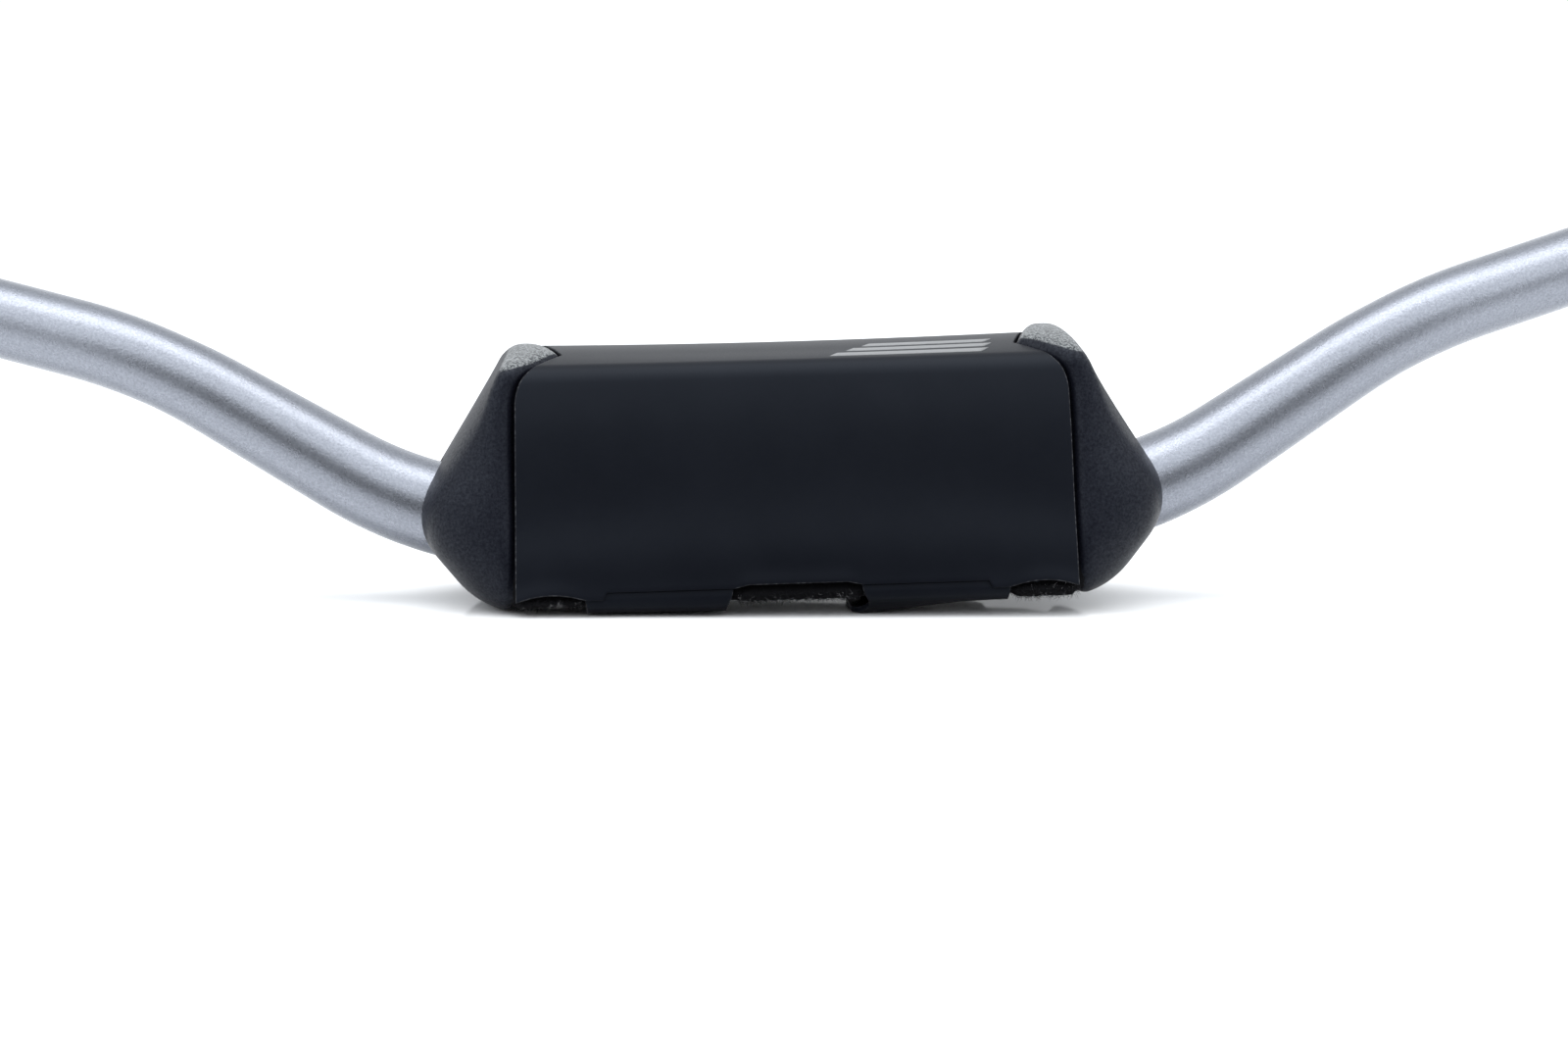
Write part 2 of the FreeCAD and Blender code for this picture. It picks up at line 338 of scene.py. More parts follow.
def mixed(tree, share, first, second, kind="RGBA"):
    """Blend of two colours, or of two numbers if the kind is FLOAT."""
    blend = tree.nodes.new("ShaderNodeMix")
    blend.data_type = kind
    feed(tree, blend, {"Factor": share, "A": first, "B": second})
    return blend.outputs["Result"]


def two_tone(tree, value, dark, light):
    return mixed(tree, value, (*dark, 1.0), (*light, 1.0))


def calculated(tree, operation, first, second):
    node = tree.nodes.new("ShaderNodeMath")
    node.operation = operation
    feed(tree, node, {0: first, 1: second})
    return node.outputs["Value"]


def one_axis(tree, vector, axis):
    split = tree.nodes.new("ShaderNodeSeparateXYZ")
    feed(tree, split, {"Vector": vector})
    return split.outputs[axis]


def bump(tree, height, distance, strength, under=None):
    node = tree.nodes.new("ShaderNodeBump")
    feed(tree, node, {"Height": height, "Distance": distance * MM, "Strength": strength})
    if under is not None:
        feed(tree, node, {"Normal": under})
    return node.outputs["Normal"]


def peened_metal():
    """Shot-peened, clear-anodised aluminium."""
    material, tree, shader = new_material("peened_metal")
    grain = noise(tree, 1500.0, 4.0, 0.7)
    patches = noise(tree, 260.0, 3.0)
    dents = bump(tree, noise(tree, 1150.0, 2.0), 0.065, 0.7)
    tone = spread(tree, grain, 0.3, 0.7)
    feed(tree, shader, {
        "Base Color": two_tone(tree, tone, (0.20, 0.212, 0.242), (0.31, 0.328, 0.372)),
        "Roughness": spread(tree, patches, 0.3, 0.7, 0.26, 0.30),
        "Metallic": 1.0,
        "Normal": bump(tree, grain, 0.09, 0.8, dents),
    })
    return material


def pad_foam_skin():
    """Closed-cell foam with a fine pebbled skin, painted pale and speckled where it faces up: a painted sheen
    for the light that falls on its top.
    """
    material, tree, shader = new_material("pad_foam_skin")
    cells = noise(tree, 1300.0, 5.0, 0.75)
    dust = bump(tree, noise(tree, 420.0, 2.0), 0.10, 0.12)
    skin = two_tone(tree, spread(tree, cells, 0.40, 0.72), (0.0045, 0.005, 0.009), (0.009, 0.010, 0.0155))
    # Painted sheen: faces that turn up get a pale speckled colour in place of the light they catch.
    speckle = spread(tree, noise(tree, 1400.0, 2.0, 0.8), 0.42, 0.60)
    sheen_colour = two_tone(tree, speckle, (0.02, 0.023, 0.025), (0.235, 0.245, 0.25))
    facing = tree.nodes.new("ShaderNodeNewGeometry").outputs["Normal"]
    painted_sheen_share = spread(tree, one_axis(tree, facing, "Z"), 0.68, 0.80)
    feed(tree, shader, {
        "Base Color": mixed(tree, painted_sheen_share, skin, sheen_colour),
        "Roughness": spread(tree, cells, 0.35, 0.7, 0.46, 0.35),
        "Specular IOR Level": spread(tree, cells, 0.35, 0.7, 0.10, 0.31),
        "Specular Tint": (0.80, 0.88, 1.0, 1.0),
        "Normal": bump(tree, cells, 0.05, 0.42, dust),
    })
    return material


def cover_cloth():
    """Coated neoprene-like fabric: smooth, matt, near black with a slight navy cast."""
    material, tree, shader = new_material("cover_cloth")
    fine = noise(tree, 2600.0, 3.0, 0.8)
    tone = spread(tree, noise(tree, 60.0, 4.0), 0.3, 0.7)
    feed(tree, shader, {
        "Base Color": two_tone(tree, tone, (0.0024, 0.0029, 0.0055), (0.0037, 0.0043, 0.0072)),
        "Roughness": spread(tree, fine, 0.3, 0.7, 0.41, 0.48),
        "Specular IOR Level": 0.17,
        "Specular Tint": (0.76, 0.86, 1.0, 1.0),
        "Normal": bump(tree, fine, 0.03, 0.5),
    })
    return material


def cloth_edge_highlight():
    """Arris of the cut fabric, lightened in patches as a painted highlight where the edge catches the light.
    """
    material, tree, shader = new_material("cloth_edge_highlight")
    breakup = noise(tree, 900.0, 3.0)
    # Painted highlight: the arris is given a paler colour than the cloth.
    tone = spread(tree, breakup, 0.45, 0.70)
    feed(tree, shader, {
        "Base Color": two_tone(tree, tone, (0.008, 0.009, 0.012), (0.075, 0.078, 0.085)),
        "Roughness": spread(tree, breakup, 0.3, 0.7, 0.6, 0.9),
        "Specular IOR Level": 0.2,
    })
    return material


def tape_pile(name, dark, light, roughness):
    """Fluffy pile of the tape, or loose fibres."""
    material, tree, shader = new_material(name)
    fluff = noise(tree, 1800.0, 4.0, 0.8)
    feed(tree, shader, {
        "Base Color": two_tone(tree, spread(tree, fluff, 0.35, 0.75), dark, light),
        "Roughness": roughness,
        "Specular IOR Level": 0.15,
        "Normal": bump(tree, fluff, 0.3, 0.8),
    })
    return material


def printed_ink():
    """Grey ink on the cloth."""
    material, tree, shader = new_material("printed_ink")
    speck = noise(tree, 900.0, 3.0)
    feed(tree, shader, {
        "Base Color": two_tone(tree, spread(tree, speck, 0.3, 0.7), (0.13, 0.135, 0.14), (0.19, 0.195, 0.20)),
        "Roughness": spread(tree, speck, 0.3, 0.7, 0.35, 0.5),
        "Normal": bump(tree, speck, 0.02, 0.4),
    })
    return material


metal = peened_metal()
foam_skin = pad_foam_skin()
cloth = cover_cloth()
edge_highlight = cloth_edge_highlight()
pile = tape_pile("tape_pile", (0.001, 0.001, 0.0015), (0.005, 0.005, 0.007), 0.9)
fuzz = tape_pile("tape_fuzz", (0.004, 0.004, 0.005), (0.030, 0.030, 0.034), 0.7)
lint = tape_pile("tape_lint", (0.35, 0.35, 0.37), (0.85, 0.85, 0.86), 0.8)
ink = printed_ink()

# ---------------- handlebar tube
CLAMP_RADIUS = 14.3
CONTROL_RADIUS = 11.1
CLAMP_BORE = 10.0
CONTROL_BORE = 7.3
TAPER_START = 60.0
TAPER_END = 187.0
CENTRE_HALF = 67.0
LOWER_RADIUS = 114.0
LOWER_ANGLE = math.radians(32.0)
RISER = 40.0
UPPER_RADIUS = 131.0
CONTROL_RISE = math.radians(15.0)
CONTROL_SWEEP = math.radians(12.0)
END_X = 400.0
END_CHAMFER = 0.8
BORE_CHAMFER = 0.3
RING_SIDES = 96
OUTER_STEPS = 340
BORE_STEPS = 170
SHARP_ANGLE = math.radians(35)

ALONG = np.array([1.0, 0.0, 0.0])
UP = np.array([0.0, 0.0, 1.0])
riser_way = np.array([math.cos(LOWER_ANGLE), 0.0, math.sin(LOWER_ANGLE)])
control_way = np.array([math.cos(CONTROL_RISE) * math.cos(CONTROL_SWEEP),
                        math.cos(CONTROL_RISE) * math.sin(CONTROL_SWEEP), math.sin(CONTROL_RISE)])
upper_side = control_way - riser_way * (riser_way @ control_way)
upper_side /= np.linalg.norm(upper_side)
upper_angle = math.acos(riser_way @ control_way)


def turn(start, way, side, radius, angle):
    """Point and heading after an arc that bends from its first heading towards a side."""
    point = start + radius * (math.sin(angle) * way + (1.0 - math.cos(angle)) * side)
    return point, math.cos(angle) * way + math.sin(angle) * side


lower_start = np.array([CENTRE_HALF, 0.0, 0.0])
riser_start = turn(lower_start, ALONG, UP, LOWER_RADIUS, LOWER_ANGLE)[0]
upper_start = riser_start + riser_way * RISER
control_start = turn(upper_start, riser_way, upper_side, UPPER_RADIUS, upper_angle)[0]
RISER_FROM = CENTRE_HALF + LOWER_RADIUS * LOWER_ANGLE
UPPER_FROM = RISER_FROM + RISER
CONTROL_FROM = UPPER_FROM + UPPER_RADIUS * upper_angle
TUBE_HALF = CONTROL_FROM + (END_X - control_start[0]) / control_way[0]


def tube_axis(distance):
    """Point and heading on the right half of the tube's axis."""
    if distance <= CENTRE_HALF:
        return distance * ALONG, ALONG
    if distance <= RISER_FROM:
        return turn(lower_start, ALONG, UP, LOWER_RADIUS, (distance - CENTRE_HALF) / LOWER_RADIUS)
    if distance <= UPPER_FROM:
        return riser_start + riser_way * (distance - RISER_FROM), riser_way
    if distance <= CONTROL_FROM:
        bent = (distance - UPPER_FROM) / UPPER_RADIUS
        return turn(upper_start, riser_way, upper_side, UPPER_RADIUS, bent)
    return control_start + control_way * (distance - CONTROL_FROM), control_way


def tapered(distance, middle, end):
    """Radius at a distance from the middle of the tube, tapered from one radius to the other."""
    share = np.clip((distance - TAPER_START) / (TAPER_END - TAPER_START), 0.0, 1.0)
    return middle + (end - middle) * share


def tube_ring(distance, radius):
    """Ring of points round the tube, distance counted from the middle, negative to the left."""
    point, way = tube_axis(abs(distance))
    if distance < 0.0:
        point = point * (-1.0, 1.0, 1.0)
        way = way * (1.0, -1.0, -1.0)
    back = np.cross(UP, way)
    back /= np.linalg.norm(back)
    over = np.cross(way, back)
    angle = np.linspace(0.0, math.tau, RING_SIDES, endpoint=False)[:, None]
    return point + radius * (np.cos(angle) * back + np.sin(angle) * over)


def tapered_stops(low, high, steps, middle, end):
    """Evenly spread (distance, radius) pairs along the tube."""
    return [(distance, tapered(abs(distance), middle, end)) for distance in np.linspace(low, high, steps + 1)]


def build_tube():
    """Tube made of rings, along its outside to the right and back through its bore."""
    outer_end, bore_end = TUBE_HALF - END_CHAMFER, TUBE_HALF - BORE_CHAMFER
    stops = [(-TUBE_HALF, CONTROL_RADIUS - END_CHAMFER)]
    stops += tapered_stops(-outer_end, outer_end, OUTER_STEPS, CLAMP_RADIUS, CONTROL_RADIUS)
    stops += [(TUBE_HALF, CONTROL_RADIUS - END_CHAMFER), (TUBE_HALF, CONTROL_BORE + BORE_CHAMFER)]
    stops += tapered_stops(bore_end, -bore_end, BORE_STEPS, CLAMP_BORE, CONTROL_BORE)
    stops.append((-TUBE_HALF, CONTROL_BORE + BORE_CHAMFER))
    points = np.concatenate([tube_ring(distance, radius) for distance, radius in stops])
    faces = face_outward(points, ring_faces(len(stops), RING_SIDES, True))
    tube = make_object("tapered_tube", points, faces, metal)
    tube.data.set_sharp_from_angle(angle=SHARP_ANGLE)
    register(tube, "handlebar", "bar_metal", "bar_tube")


# ---------------- foam pad
FOAM_RECESS = 3.3  # how far the foam lies in under the cover
RECESS_MARGIN = 0.35
RECESS_ROUND = 4.5
END_UPPER = ((79.7, 52.5), (99.4, 21.5))  # (x, z) points on an end's upper and lower face
END_LOWER = ((101.9, -9.0), (91.2, -22.4))
END_ROUND = 13.0
END_NARROWING = 7.74  # the ends draw in by up to this at their long sides, low down
NARROWING_Z = (20.0, 50.0)
RIM_ROUND = 3.0  # round between section and ends, by more of it low down
RIM_ROUND_MORE = 6.0
RIM_ROUND_Z = (10.0, 36.0)
CRISP_X = (74.0, 82.0)  # past the cover the section's own corners are tighter
CRISP_TOP_ROUND = 2.5
CRISP_BOTTOM_ROUND = 5.0
CHANNEL_CLEARANCE = 0.5
CHANNEL_ROUND = 1.6
SLOT_HALF = 7.0
SLOT_TOP = 2.0
SLOT_ROUND = 2.0
CROWN_SWELL_RIGHT = 1.1  # the foam stands up past the cover by more on the right
CROWN_SWELL_LEFT = -0.6
SWELL_X = ((62.0, 74.0), (76.0, 90.0))  # it rises and fades over these, near the crown
SWELL_Z = (45.0, 51.0)
LEFT_END_TRIM = 1.1  # the foam is cut a little shorter on the left
VOXEL = 1.1
FOAM_LOW = (-108.4, -38.5, -25.2)  # corners of the box searched for its surface
FOAM_HIGH = (108.4, 41.5, 54.6)


def half_plane(a, b, first, second):
    """Distance beyond the line through two points, on its left-hand side going from first to second."""
    along = np.array(second) - np.array(first)
    out = np.array([-along[1], along[0]]) / np.linalg.norm(along)
    return (a - first[0]) * out[0] + (b - first[1]) * out[1]


def foam_field(x, y, z):
    """Distance outside the foam, in millimetres; negative inside it."""
    swollen = np.where(x > 0.0, CROWN_SWELL_RIGHT, CROWN_SWELL_LEFT)
    trim = np.where(x > 0.0, 0.0, LEFT_END_TRIM)
    x = np.abs(x)
    swell = smooth_step(x, *SWELL_X[0]) * (1.0 - smooth_step(x, *SWELL_X[1]))
    z = z - swollen * swell * smooth_step(z, *SWELL_Z)
    section, run = section_field(y, z)
    u = np.abs(y - PAD_MIDDLE)
    crown, side = crown_and_side(u, z)
    crisp = smooth_max(smooth_max(crown, side, CRISP_TOP_ROUND), PAD_BOTTOM - z, CRISP_BOTTOM_ROUND)
    section = section + (crisp - section) * smooth_step(x, *CRISP_X)
    ends = smooth_max(half_plane(x, z, *END_UPPER), half_plane(x, z, *END_LOWER), END_ROUND) + trim
    side_share = (u / (SIDE_HIGH + 2.0)) ** 4
    ends = ends + END_NARROWING * (1.0 - smooth_step(z, *NARROWING_Z)) * side_share
    body = smooth_max(section, ends, RIM_ROUND + RIM_ROUND_MORE * (1.0 - smooth_step(z, *RIM_ROUND_Z)))
    beyond_cover = x - cover_half_width(run) - RECESS_MARGIN
    recess = np.maximum(-(section + FOAM_RECESS + cover_sag(x, run)), beyond_cover)
    body = smooth_max(body, -recess, RECESS_ROUND)
    past_bend = x > CENTRE_HALF
    bend = np.hypot(x - CENTRE_HALF, z - LOWER_RADIUS)
    off_axis = np.where(past_bend, LOWER_RADIUS - bend, -z)
    bent = LOWER_RADIUS * np.arctan2(x - CENTRE_HALF, LOWER_RADIUS - z)
    distance = np.where(past_bend, CENTRE_HALF + bent, x)
    radius = tapered(distance, CLAMP_RADIUS, CONTROL_RADIUS) + CHANNEL_CLEARANCE
    body = smooth_max(body, radius - np.hypot(y, off_axis), CHANNEL_ROUND)
    slot = np.maximum(np.abs(y) - SLOT_HALF, z - SLOT_TOP)
    return smooth_max(body, -slot, SLOT_ROUND)


def surface_of(field, low, high, step):
    """Quad mesh of a field's zero surface: one point in each crossed cell, then moved onto it."""
    axes = [np.arange(a, b + step, step) for a, b in zip(low, high)]
    gx, gy, gz = np.meshgrid(*axes, indexing="ij")
    values = field(gx, gy, gz)
    inside = values < 0.0
    size = np.array(values.shape)
    total = np.zeros((*(size - 1), 3))
    crossings = np.zeros(size - 1)
    steps = np.eye(3, dtype=int)
    for axis in range(3):
        others = [o for o in range(3) if o != axis]
        for first in (0, 1):
            for second in (0, 1):
                start = np.zeros(3, int)
                start[others[0]], start[others[1]] = first, second
                stop = start + steps[axis]
                a = values[tuple(slice(s, s + n) for s, n in zip(start, size - 1))]
                b = values[tuple(slice(s, s + n) for s, n in zip(stop, size - 1))]
                crossed = (a < 0.0) != (b < 0.0)
                share = np.where(crossed, a / np.where(crossed, a - b, 1.0), 0.0)
                for other in range(3):
                    along = share if other == axis else float(start[other])
                    total[..., other] += np.where(crossed, along, 0.0)
                crossings += crossed
    used = crossings > 0
    number = -np.ones(used.shape, int)
    number[used] = np.arange(used.sum())
    cell = np.argwhere(used)
    points = np.array(low) + step * (cell + total[used] / crossings[used][:, None])
    faces = []
    for axis in range(3):
        others = [o for o in range(3) if o != axis]
        a = inside[tuple(slice(0, n - 1) if o == axis else slice(1, n - 1) for o, n in enumerate(size))]
        b = inside[tuple(slice(1, n) if o == axis else slice(1, n - 1) for o, n in enumerate(size))]
        edge = np.argwhere(a != b)
        leaving = a[tuple(edge.T)]
        corner = []
        for first, second in ((0, 0), (1, 0), (1, 1), (0, 1)):
            place = edge.copy()
            place[:, others[0]] += first
            place[:, others[1]] += second
            corner.append(number[tuple(place.T)])
        quads = np.stack(corner, axis=1)
        flip = leaving if axis == 1 else ~leaving
        quads[flip] = quads[flip][:, ::-1]
        faces.append(quads)
    for repeat in range(3):
        here = field(*points.T)
        slope = np.stack([(field(*(points + way * 0.2).T) - field(*(points - way * 0.2).T)) / 0.4
                          for way in np.eye(3)], axis=1)
        length = np.maximum((slope ** 2).sum(axis=1), 0.2)
        shift = (here / length)[:, None] * slope
        reach = np.linalg.norm(shift, axis=1, keepdims=True)
        points = points - shift * np.minimum(1.0, 0.5 * step / np.maximum(reach, 1e-9))
    return points, np.concatenate(faces)


def build_foam():
    """Foam block, hollowed under the cover and along the tube, with a slot to fit it by."""
    points, faces = surface_of(foam_field, FOAM_LOW, FOAM_HIGH, VOXEL)
    faces = face_outward(points, faces)
    foam = make_object("foam_pad", points, faces, foam_skin)
    register(foam, "handlebar", "foam", "pad_foam")


# ---------------- cover
EDGE_ROUND = 0.3
SETTLE_SCALE = 0.01  # the cloth is settled at ten times its size, where the solver works well
SETTLE_FRAMES = 30
SETTLE_GAP = 0.65  # half the space between the cloth's middle and the foam once it has settled
SETTLE_REACH = 96.0  # half length of the foam it settles on
SLACK = 0.6
SLACK_FADE = 30.0
MIDDLE_DEPTH = 2.0
EVENING_PASSES = 80
TAB_INNER = 18.0
TAB_OUTER = 60.0
TAB_ROOT_Z = -16.0
REAR_EDGE_Z = -17.0
LOWER_HALF_WIDTH = 79.6  # of the cover, at its lower edge
ARCH_END = 79.3
ARCH_TOP_Z = -16.4
ARCH_DROP = 1.7
EDGE_FLARE = 0.35  # the lower edge stands out over the cut-outs
BELLY = 2.3  # how far the front stands out below the top corner
BELLY_START = 8.5
BELLY_EASE = 4.0
BELLY_FADE = (12.0, 56.0)


def temporary_grid(name, points):
    """Grid mesh at the settling scale, thrown away afterwards."""
    rows, columns = points.shape[:2]
    mesh = bpy.data.meshes.new(name)
    faces = grid_faces(rows, columns, 0, False)
    mesh.from_pydata((points.reshape(-1, 3) * SETTLE_SCALE).tolist(), [], faces.tolist())
    return add_object(name, mesh)


def outline_points(x, run, depth, drop=0.0):
    """Points at x on the section's outline, drawn in by depth and lowered by drop."""
    y, z, normal_y, normal_z = section_point(run, depth)
    return np.stack([x, y, z - drop], axis=2)


def settled_cover(columns, runs):
    """Outward movement of the cover's cloth when it is pulled taut over the foam, on a coarse grid.

    The sheet is held along its rear and front lower edges and shrinks onto the foam."""
    column_grid, run_grid = np.meshgrid(columns, runs)
    x = column_grid * cover_half_width(run_grid)
    foam_x, foam_run = np.meshgrid(np.linspace(-SETTLE_REACH, SETTLE_REACH, 97),
                                   np.linspace(-BOTTOM_START, BOTTOM_START, 120))
    foam_depth = FOAM_RECESS + cover_sag(foam_x, foam_run)
    collider = temporary_grid("foam_stand_in", outline_points(foam_x, foam_run, foam_depth))
    collider.modifiers.new("collision", "COLLISION")
    collider.collision.thickness_outer = SETTLE_GAP * SETTLE_SCALE
    collider.collision.cloth_friction = 12.0
    from_edge = np.minimum(run_grid - runs[0], runs[-1] - run_grid)
    slack = SLACK * smooth_step(from_edge, 0.0, SLACK_FADE)
    y, z, normal_y, normal_z = section_point(run_grid, MIDDLE_DEPTH - slack + cover_sag(x, run_grid))
    start = np.stack([x, y, z], axis=2)
    sheet = temporary_grid("cloth_stand_in", start)
    held = sheet.vertex_groups.new(name="held")
    last_row = (runs.size - 1) * columns.size
    for first in (0, last_row):
        held.add(list(range(first, first + columns.size)), 1.0, "REPLACE")
    cloth_settings = sheet.modifiers.new("cloth", "CLOTH")
    settings = cloth_settings.settings
    for name, value in (("quality", 10), ("mass", 0.3), ("tension_stiffness", 40.0),
                        ("compression_stiffness", 40.0), ("shear_stiffness", 20.0),
                        ("bending_stiffness", 8.0), ("tension_damping", 15.0), ("air_damping", 4.0),
                        ("shrink_min", 0.003), ("vertex_group_mass", "held")):
        setattr(settings, name, value)
    cloth_settings.collision_settings.distance_min = SETTLE_GAP * SETTLE_SCALE
    cloth_settings.collision_settings.collision_quality = 4
    cloth_settings.point_cache.frame_start = 1
    cloth_settings.point_cache.frame_end = SETTLE_FRAMES
    scene = bpy.context.scene
    for frame_number in range(1, SETTLE_FRAMES + 1):
        scene.frame_set(frame_number)
    settled = sheet.evaluated_get(bpy.context.evaluated_depsgraph_get()).data
    places = np.zeros(start.size)
    settled.vertices.foreach_get("co", places)
    moved = places.reshape(start.shape) / SETTLE_SCALE - start
    lift = moved[..., 1] * normal_y + moved[..., 2] * normal_z + slack
    scene.frame_set(1)
    bpy.data.objects.remove(sheet)
    bpy.data.objects.remove(collider)
    return lift


def looked_up(table, row_keys, column_keys, row_at, column_at):
    """Values of a table at places between its rows and columns."""
    row = np.interp(row_at, row_keys, np.arange(row_keys.size))
    column = np.interp(column_at, column_keys, np.arange(column_keys.size))
    low_row = np.minimum(row.astype(int), row_keys.size - 2)
    low_column = np.minimum(column.astype(int), column_keys.size - 2)
    down, right = row - low_row, column - low_column
    upper = table[low_row, low_column] * (1.0 - right) + table[low_row, low_column + 1] * right
    lower = table[low_row + 1, low_column] * (1.0 - right) + table[low_row + 1, low_column + 1] * right
    return upper * (1.0 - down) + lower * down


def evened(values, passes):
    """Values smoothed over their neighbours, the edges kept."""
    for repeat in range(passes):
        padded = np.pad(values, 1, mode="edge")
        beside = padded[1:-1, :-2] + padded[1:-1, 2:] + padded[:-2, 1:-1] + padded[2:, 1:-1]
        values = (beside + 4.0 * values) / 8.0
    return values


def cover_bottom_edge(x):
    """Height of the front panel's lower edge: straight over the tabs, arched over the cut-outs."""
    x = np.abs(x)
    outer = (x - TAB_OUTER) / (ARCH_END - TAB_OUTER)
    arch = ARCH_TOP_Z - ARCH_DROP * np.clip(2.0 * outer - 1.0, -1.0, 1.0) ** 2
    centre = TAB_ROOT_Z + 0.9 - 0.9 * smooth_step(x, TAB_INNER - 4.0, TAB_INNER)
    return np.where(x > TAB_OUTER - 5.5, arch, np.where(x < TAB_INNER, centre, TAB_ROOT_Z))


def cover_lift(x, columns, runs, edge_run):
    """How far the cover stands out from its plain outline: settled, bellied, flared and uneven."""
    coarse_columns = np.linspace(-1.0, 1.0, 39)
    coarse_runs = np.linspace(-run_at_height(TAB_ROOT_Z), run_at_height(REAR_EDGE_Z), 56)
    settled = settled_cover(coarse_columns, coarse_runs)
    fine_columns = np.linspace(-1.0, 1.0, 121)
    fine_runs = np.linspace(coarse_runs[0], coarse_runs[-1], 160)
    column_grid, run_grid = np.meshgrid(fine_columns, fine_runs)
    settled = looked_up(settled, coarse_runs, coarse_columns, run_grid, column_grid)
    column_grid = np.repeat(columns[None, :], runs.shape[0], axis=0)
    settled = looked_up(evened(settled, EVENING_PASSES), fine_runs, fine_columns, runs, column_grid)
    past_corner = np.clip(-runs - CORNER_END + BELLY_EASE, 0.0, None)
    eased = past_corner ** 2 / (past_corner + BELLY_EASE)
    belly = BELLY * (1.0 - np.exp(-eased / BELLY_START)) * (1.0 - smooth_step(past_corner, *BELLY_FADE))
    low_edge = smooth_step(-runs, edge_run[None, :] - 5.0, edge_run[None, :])
    centre = 1.0 - smooth_step(np.abs(x), TAB_INNER - 5.0, TAB_INNER + 0.5)
    between_tabs = centre + smooth_step(np.abs(x), TAB_OUTER - 0.5, TAB_OUTER + 7.0)
    uneven = 0.06 * wave(x * 0.06, runs * 0.06, 3)
    return settled + belly + EDGE_FLARE * low_edge * between_tabs + uneven


def build_cover():
    """Cover shell and front panel in one sheet, with rows of points along its edges and corners."""
    tab_columns = np.array([TAB_INNER, TAB_INNER + 1.0, TAB_OUTER - 6.0, TAB_OUTER - 5.0]) / LOWER_HALF_WIDTH
    columns = np.concatenate([np.linspace(-1.0, 1.0, 81), tab_columns, -tab_columns, (-0.992, 0.992)])
    columns = np.unique(columns.round(6))
    edge_run = run_at_height(cover_bottom_edge(columns * LOWER_HALF_WIDTH))
    runs = [-(edge_run + (CORNER_END - edge_run) * share) for share in np.linspace(0.0, 1.0, 44)]
    for low, high, count in ((-CORNER_END, -CROWN_END, 14), (-CROWN_END, NOTCH_RUN, 15),
                             (NOTCH_RUN, CROWN_END, 26), (CROWN_END, CORNER_END, 14),
                             (CORNER_END, run_at_height(REAR_EDGE_Z), 40)):
        runs += [np.full(columns.size, run) for run in np.linspace(low, high, count)[1:]]
    runs = np.array(runs)
    x = columns[None, :] * cover_half_width(runs)
    drawn_in = cover_sag(x, runs) - cover_lift(x, columns, runs, edge_run)
    outer, inner = (outline_points(x, runs, depth + drawn_in)
                    for depth in (COVER_OUTSIDE, COVER_OUTSIDE + COVER_THICKNESS))
    cover = sheet_object("pad_cover", outer, inner, cloth, EDGE_ROUND, edge_highlight)
    plain_edge(cover, lambda x, z: z < TAB_ROOT_Z + 1.5 and TAB_INNER < abs(x) < TAB_OUTER)
    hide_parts("cover_shell", "cover_front_panel")
    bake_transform(cover)


TAB_REAR_Y = 31.0
TAB_CORNER = 6.0  # round of the free end's corners
ROOT_CORNER_WIDTH = 4.0  # and of the outer corner at the root
ROOT_CORNER_HEIGHT = 2.2
TAB_DEPTH = 1.0  # a little proud of the cover
LOBE_WIDENING = 4.5  # the right tab widens inwards behind its lip, and hangs lower there
LOBE_DROP = 3.0


def rounded(share):
    """Part of a corner's radius that is cut away, 0 where it starts to 1 at its end."""
    return 1.0 - np.sqrt(1.0 - np.clip(share, 0.0, 1.0) ** 2)


def build_tab(name, side, node_name):
    """Fastening tab: from the panel's edge round the lower corner and back under the bar."""
    root = run_at_height(TAB_ROOT_Z)
    end = BOTTOM_START + (TAB_REAR_Y - (PAD_MIDDLE - BOTTOM_CORNER[0]))
    runs = np.concatenate([np.linspace(root, BOTTOM_START, 28), np.linspace(BOTTOM_START, end, 60)[1:]])
    past_root = runs - root
    drawn_in = TAB_CORNER * rounded((runs - (end - TAB_CORNER)) / TAB_CORNER)
    root_corner = ROOT_CORNER_WIDTH * rounded(1.0 - past_root / ROOT_CORNER_HEIGHT)
    lip = smooth_step(past_root, 0.0, 8.0)
    inner_edge = TAB_INNER + (0.4 if side < 0 else 0.0) + 2.0 * lip + drawn_in
    outer_edge = TAB_OUTER - 0.6 * lip - drawn_in - root_corner
    if side > 0:
        behind_lip = smooth_step(past_root, 9.0, 16.0) * (1.0 - smooth_step(past_root, 34.0, 60.0))
        inner_edge = inner_edge - LOBE_WIDENING * behind_lip
    across = np.linspace(0.0, 1.0, 37)
    x = side * (inner_edge[:, None] + (outer_edge - inner_edge)[:, None] * across[None, :])
    run_grid = np.repeat(runs[:, None], across.size, axis=1)
    towards_middle = 1.0 - smooth_step(np.abs(x), TAB_INNER, TAB_OUTER)
    rear_fade = 1.0 - smooth_step(run_grid, end - 30.0, end - 15.0)
    lip_drop = 0.1 if side > 0 else 0.2 + 0.5 * towards_middle
    sag = lip_drop * smooth_step(run_grid, SIDE_END - 2.0, BOTTOM_START - 1.0) * rear_fade
    if side > 0:
        lobe = 1.0 - smooth_step(np.abs(x), 17.0, 60.0)
        low = smooth_step(run_grid, BOTTOM_START - 3.0, BOTTOM_START + 4.0)
        sag = sag + LOBE_DROP * lobe * low * rear_fade
    outer, inner = (outline_points(x, -run_grid, depth, sag)
                    for depth in (TAB_DEPTH, TAB_DEPTH + COVER_THICKNESS))
    tab = sheet_object(name, outer, inner, cloth, EDGE_ROUND, edge_highlight)
    plain_edge(tab, lambda x, z: z > TAB_ROOT_Z - 0.8)
    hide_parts(node_name)
    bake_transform(tab)


